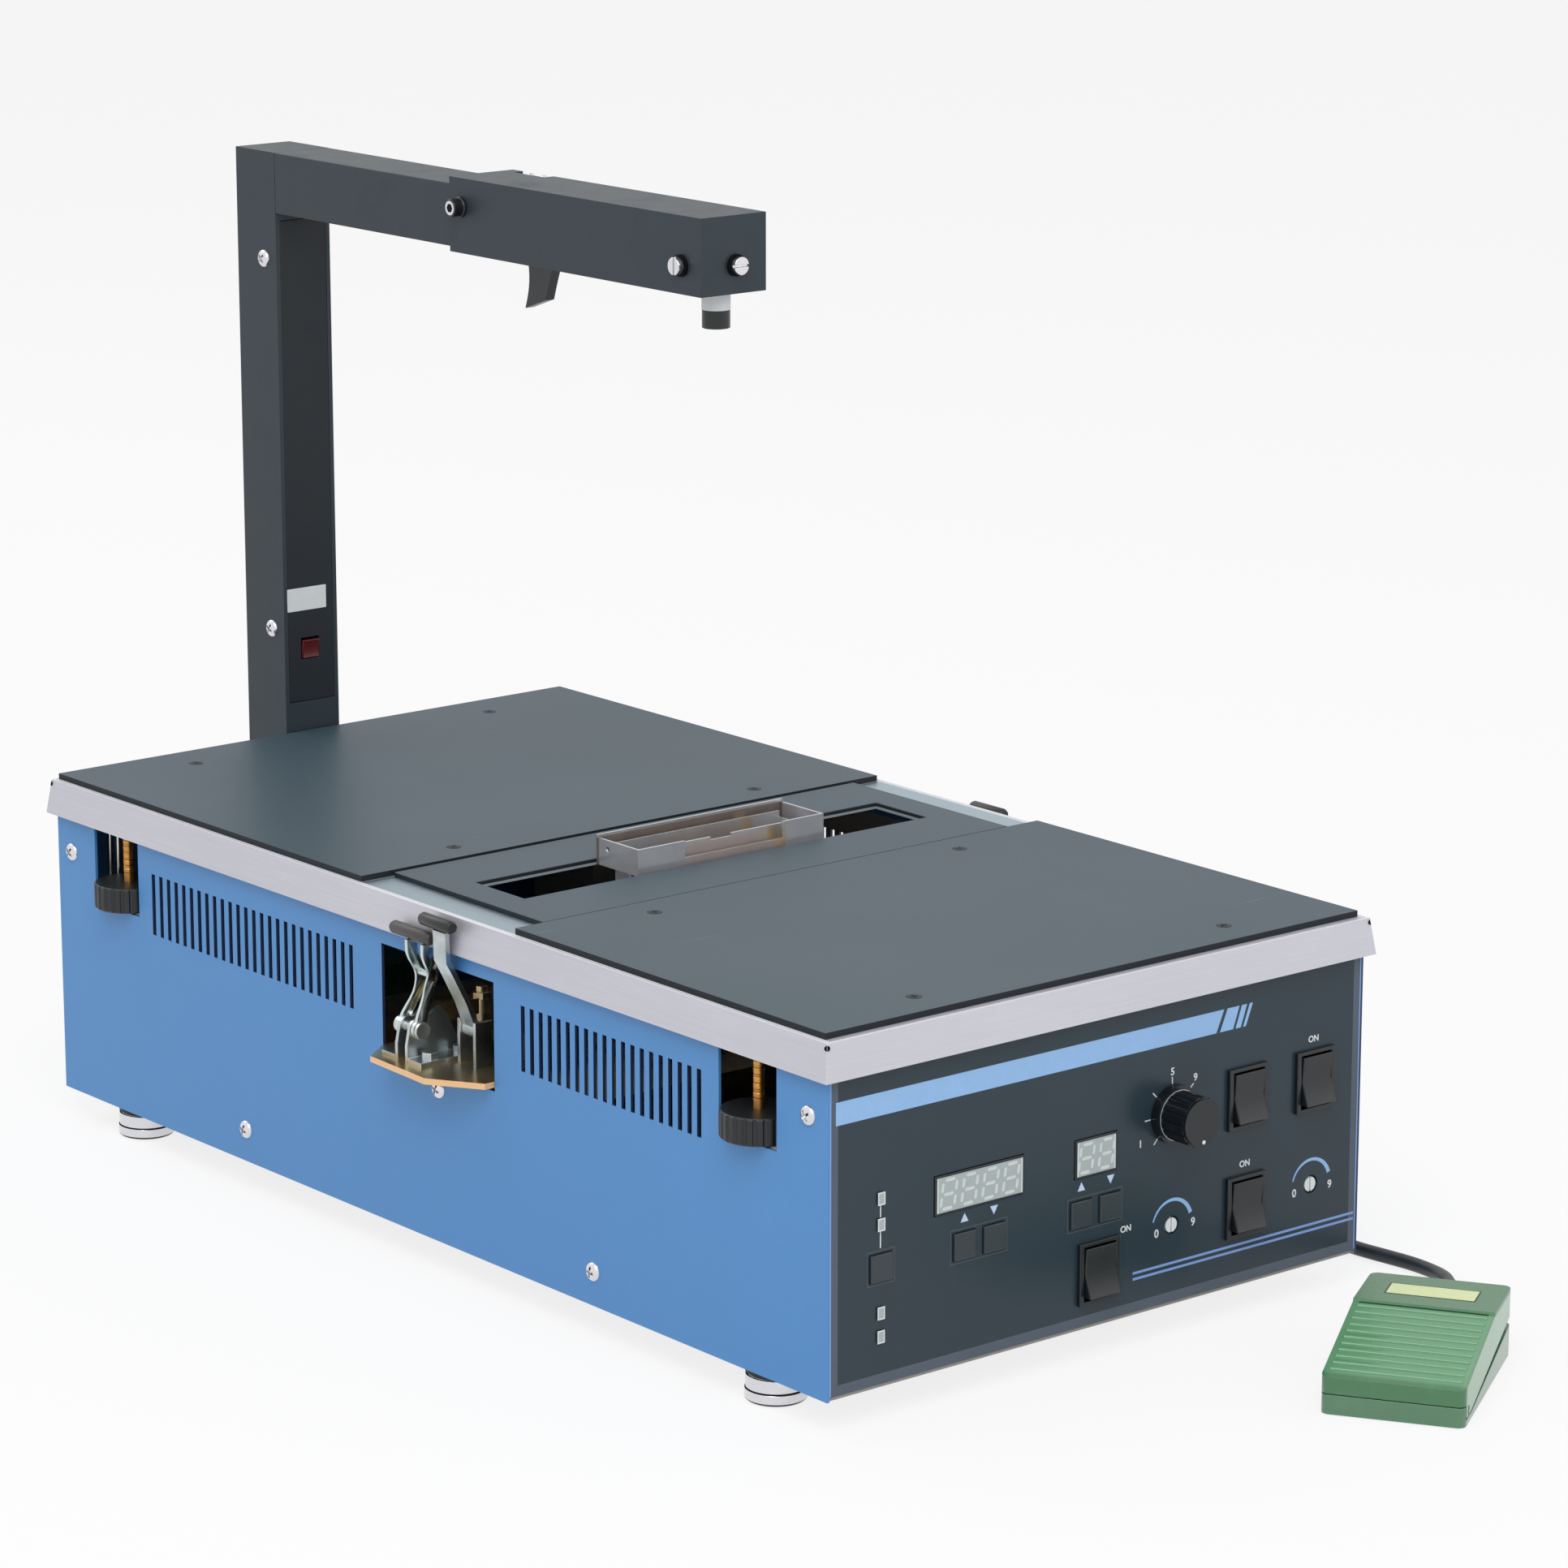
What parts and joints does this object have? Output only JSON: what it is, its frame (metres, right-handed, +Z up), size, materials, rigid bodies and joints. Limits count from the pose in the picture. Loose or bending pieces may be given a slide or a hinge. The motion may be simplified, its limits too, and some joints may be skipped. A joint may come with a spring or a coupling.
{
  "type": "selective soldering machine",
  "caption": "Bench soldering machine with a levelled work table over a pumped nozzle, toggle clamps, a telescopic pointer arm with laser and trigger, and a foot switch on a cord.",
  "frame": {"origin": "on the bench surface, under the middle of the whole object's bounding box without its free cord", "axes": "+Z up, the control panel faces -Y, +X to the operator's right"},
  "size_m": [0.3915, 0.9232, 0.5011],
  "materials": {
    "blue_paint": "satin",
    "stainless": "brushed",
    "slate_plate": "matt",
    "arm_paint": "satin",
    "column_paint": "satin",
    "panel_paint": "satin",
    "black_plastic": "matt",
    "zinc_plate": "zinc plated",
    "bright_steel": "bright",
    "pot_steel": "oxidised",
    "brass_stud": "dull",
    "steel_grip": "plated",
    "circuit": "solder mask",
    "pedal_green": "textured",
    "red_lens": "translucent",
    "cord_rubber": "matt",
    "motor_black": "gloss",
    "spring_wire": "bright",
    "foot_rubber": "matt"
  },
  "bodies": {
    "chassis": {"base_pan": "stainless", "side_left": "blue_paint", "side_right": "blue_paint", "rear_panel": "blue_paint", "front_panel": "panel_paint", "panel_fittings": "black_plastic", "side_screws": "bright_steel", "feet": "foot_rubber", "pot_tray": "zinc_plate", "pot": "pot_steel", "pump_duct": "stainless", "motor": "motor_black", "nozzle": "stainless", "electronics": "circuit", "clamp_bases": "zinc_plate", "column": "column_paint", "column_cover": "column_paint", "arm_inner": "arm_paint", "rear_sockets": "black_plastic", "pedal_base": "pedal_green", "pedal_spring": "spring_wire", "cord": "cord_rubber", "coil": "cord_rubber"},
    "table": {"table_frame": "stainless", "plate_rear": "slate_plate", "plate_mid": "slate_plate", "plate_front": "slate_plate", "plate_screws": "motor_black", "studs": "brass_stud"},
    "sleeve": {"arm_sleeve": "arm_paint", "laser": "motor_black"},
    "impeller": {"impeller": "stainless"},
    "button_temp_up": {"button_temp_up": "black_plastic"},
    "button_temp_down": {"button_temp_down": "black_plastic"},
    "button_time_up": {"button_time_up": "black_plastic"},
    "button_time_down": {"button_time_down": "black_plastic"},
    "button_mode": {"button_mode": "black_plastic"},
    "rocker_pump": {"rocker_pump": "black_plastic"},
    "rocker_mode": {"rocker_mode": "black_plastic"},
    "rocker_main": {"rocker_main": "black_plastic"},
    "rocker_standby": {"rocker_standby": "black_plastic"},
    "flow_knob": {"flow_knob": "black_plastic"},
    "speed_trimmer": {"speed_trimmer": "bright_steel"},
    "level_trimmer": {"level_trimmer": "bright_steel"},
    "level_knob_fl": {"level_knob_fl": "black_plastic"},
    "level_knob_fr": {"level_knob_fr": "black_plastic"},
    "level_knob_rl": {"level_knob_rl": "black_plastic"},
    "level_knob_rr": {"level_knob_rr": "black_plastic"},
    "clamp_handle_l": {"clamp_handle_l": "steel_grip"},
    "clamp_handle_r": {"clamp_handle_r": "steel_grip"},
    "clamp_arm_l": {"clamp_arm_l": "zinc_plate"},
    "clamp_arm_r": {"clamp_arm_r": "zinc_plate"},
    "release_lever_l": {"release_lever_l": "steel_grip"},
    "release_lever_r": {"release_lever_r": "steel_grip"},
    "pilot_switch": {"pilot_switch": "red_lens"},
    "lock_screw": {"lock_screw": "black_plastic"},
    "trigger": {"trigger": "black_plastic"},
    "side_adjuster": {"side_adjuster": "bright_steel"},
    "end_adjuster": {"end_adjuster": "bright_steel"},
    "treadle": {"treadle": "pedal_green"}
  },
  "joints": [
    {"name": "table_lift", "type": "slide", "parent": "chassis", "child": "table", "axis": [0, 0, 1], "range_m": [-0.003, 0.003]},
    {"name": "level_turn_fl", "type": "hinge", "parent": "chassis", "child": "level_knob_fl", "pos_m": [-0.158, -0.19251, 0.131], "axis": [0, 0, 1], "range_deg": [-1350, 1350]},
    {"name": "level_turn_fr", "type": "hinge", "parent": "chassis", "child": "level_knob_fr", "pos_m": [0.158, -0.19251, 0.131], "axis": [0, 0, 1], "range_deg": [-1350, 1350]},
    {"name": "level_turn_rl", "type": "hinge", "parent": "chassis", "child": "level_knob_rl", "pos_m": [-0.158, 0.32349, 0.131], "axis": [0, 0, 1], "range_deg": [-1350, 1350]},
    {"name": "level_turn_rr", "type": "hinge", "parent": "chassis", "child": "level_knob_rr", "pos_m": [0.158, 0.32349, 0.131], "axis": [0, 0, 1], "range_deg": [-1350, 1350]},
    {"name": "press_temp_up", "type": "slide", "parent": "chassis", "child": "button_temp_up", "axis": [0, 1, 0], "range_m": [0, 0.001], "stiffness_N_per_m": 800, "springref_m": -0.0005},
    {"name": "press_temp_down", "type": "slide", "parent": "chassis", "child": "button_temp_down", "axis": [0, 1, 0], "range_m": [0, 0.001], "stiffness_N_per_m": 800, "springref_m": -0.0005},
    {"name": "press_time_up", "type": "slide", "parent": "chassis", "child": "button_time_up", "axis": [0, 1, 0], "range_m": [0, 0.001], "stiffness_N_per_m": 800, "springref_m": -0.0005},
    {"name": "press_time_down", "type": "slide", "parent": "chassis", "child": "button_time_down", "axis": [0, 1, 0], "range_m": [0, 0.001], "stiffness_N_per_m": 800, "springref_m": -0.0005},
    {"name": "press_mode", "type": "slide", "parent": "chassis", "child": "button_mode", "axis": [0, 1, 0], "range_m": [0, 0.001], "stiffness_N_per_m": 800, "springref_m": -0.0005},
    {"name": "rock_pump", "type": "hinge", "parent": "chassis", "child": "rocker_pump", "pos_m": [-0.0035, -0.24781, 0.043], "axis": [1, 0, 0], "range_deg": [0, 14]},
    {"name": "rock_mode", "type": "hinge", "parent": "chassis", "child": "rocker_mode", "pos_m": [0.0895, -0.24781, 0.1085], "axis": [1, 0, 0], "range_deg": [0, 14]},
    {"name": "rock_main", "type": "hinge", "parent": "chassis", "child": "rocker_main", "pos_m": [0.1335, -0.24781, 0.1085], "axis": [1, 0, 0], "range_deg": [0, 14]},
    {"name": "rock_standby", "type": "hinge", "parent": "chassis", "child": "rocker_standby", "pos_m": [0.0895, -0.24781, 0.0555], "axis": [1, 0, 0], "range_deg": [0, 14]},
    {"name": "rock_pilot", "type": "hinge", "parent": "chassis", "child": "pilot_switch", "pos_m": [-0.0007, 0.38929, 0.229], "axis": [1, 0, 0], "range_deg": [-6, 0]},
    {"name": "turn_flow", "type": "hinge", "parent": "chassis", "child": "flow_knob", "pos_m": [0.0426, -0.25951, 0.1094], "axis": [0, 1, 0], "range_deg": [0, 300]},
    {"name": "turn_speed", "type": "hinge", "parent": "chassis", "child": "speed_trimmer", "pos_m": [0.0431, -0.24251, 0.055], "axis": [0, 1, 0], "range_deg": [-120, 120]},
    {"name": "turn_level", "type": "hinge", "parent": "chassis", "child": "level_trimmer", "pos_m": [0.1332, -0.24251, 0.0565], "axis": [0, 1, 0], "range_deg": [-120, 120]},
    {"name": "pump_spin", "type": "hinge", "parent": "chassis", "child": "impeller", "pos_m": [-0.1195, 0.02049, 0.04], "axis": [0, 0, 1], "continuous": true},
    {"name": "clamp_lock_l", "type": "hinge", "parent": "chassis", "child": "clamp_handle_l", "pos_m": [-0.1715, 0.05449, 0.122], "axis": [0, -1, 0], "range_deg": [0, 80]},
    {"name": "clamp_press_l", "type": "hinge", "parent": "chassis", "child": "clamp_arm_l", "pos_m": [-0.159, 0.05449, 0.1265], "axis": [0, -1, 0], "range_deg": [0, 40.5]},
    {"name": "catch_l", "type": "hinge", "parent": "chassis", "child": "release_lever_l", "pos_m": [-0.154, 0.02749, 0.124], "axis": [0, -1, 0], "range_deg": [0, 12], "stiffness_Nm_per_rad": 1, "springref_deg": -5.73},
    {"name": "clamp_lock_r", "type": "hinge", "parent": "chassis", "child": "clamp_handle_r", "pos_m": [0.1715, 0.05449, 0.122], "axis": [0, 1, 0], "range_deg": [0, 80]},
    {"name": "clamp_press_r", "type": "hinge", "parent": "chassis", "child": "clamp_arm_r", "pos_m": [0.159, 0.05449, 0.1265], "axis": [0, 1, 0], "range_deg": [0, 40.5]},
    {"name": "catch_r", "type": "hinge", "parent": "chassis", "child": "release_lever_r", "pos_m": [0.154, 0.02749, 0.124], "axis": [0, 1, 0], "range_deg": [0, 12], "stiffness_Nm_per_rad": 1, "springref_deg": -5.73},
    {"name": "arm_telescope", "type": "slide", "parent": "chassis", "child": "sleeve", "axis": [0, 1, 0], "range_m": [-0.055, 0.06]},
    {"name": "arm_lock", "type": "hinge", "parent": "sleeve", "child": "lock_screw", "pos_m": [-0.02, 0.21419, 0.4865], "axis": [1, 0, 0], "range_deg": [0, 360]},
    {"name": "pull_trigger", "type": "hinge", "parent": "sleeve", "child": "trigger", "pos_m": [0, 0.17049, 0.4691], "axis": [1, 0, 0], "range_deg": [0, 12], "stiffness_Nm_per_rad": 0.5, "springref_deg": -5.73},
    {"name": "adjust_side", "type": "hinge", "parent": "sleeve", "child": "side_adjuster", "pos_m": [-0.0218, 0.03549, 0.4771], "axis": [1, 0, 0], "range_deg": [-180, 180]},
    {"name": "adjust_end", "type": "hinge", "parent": "sleeve", "child": "end_adjuster", "pos_m": [0.001, 0.01889, 0.4771], "axis": [0, 1, 0], "range_deg": [-180, 180]},
    {"name": "press_treadle", "type": "hinge", "parent": "chassis", "child": "treadle", "pos_m": [0.04932, -0.3896, 0.0065], "axis": [-0.5388, 0.8425, 0], "range_deg": [0, 2.2], "stiffness_Nm_per_rad": 20, "springref_deg": -1.72, "deforming": ["pedal_spring"]}
  ],
  "couplings": [
    {"joint": "level_turn_fl", "follows": "table_lift", "rad_per_m": -7854},
    {"joint": "level_turn_fr", "follows": "table_lift", "rad_per_m": -7854},
    {"joint": "level_turn_rl", "follows": "table_lift", "rad_per_m": -7854},
    {"joint": "level_turn_rr", "follows": "table_lift", "rad_per_m": -7854},
    {"joint": "clamp_press_l", "follows": "clamp_lock_l", "ratio": 0.5},
    {"joint": "clamp_press_r", "follows": "clamp_lock_r", "ratio": 0.5}
  ]
}
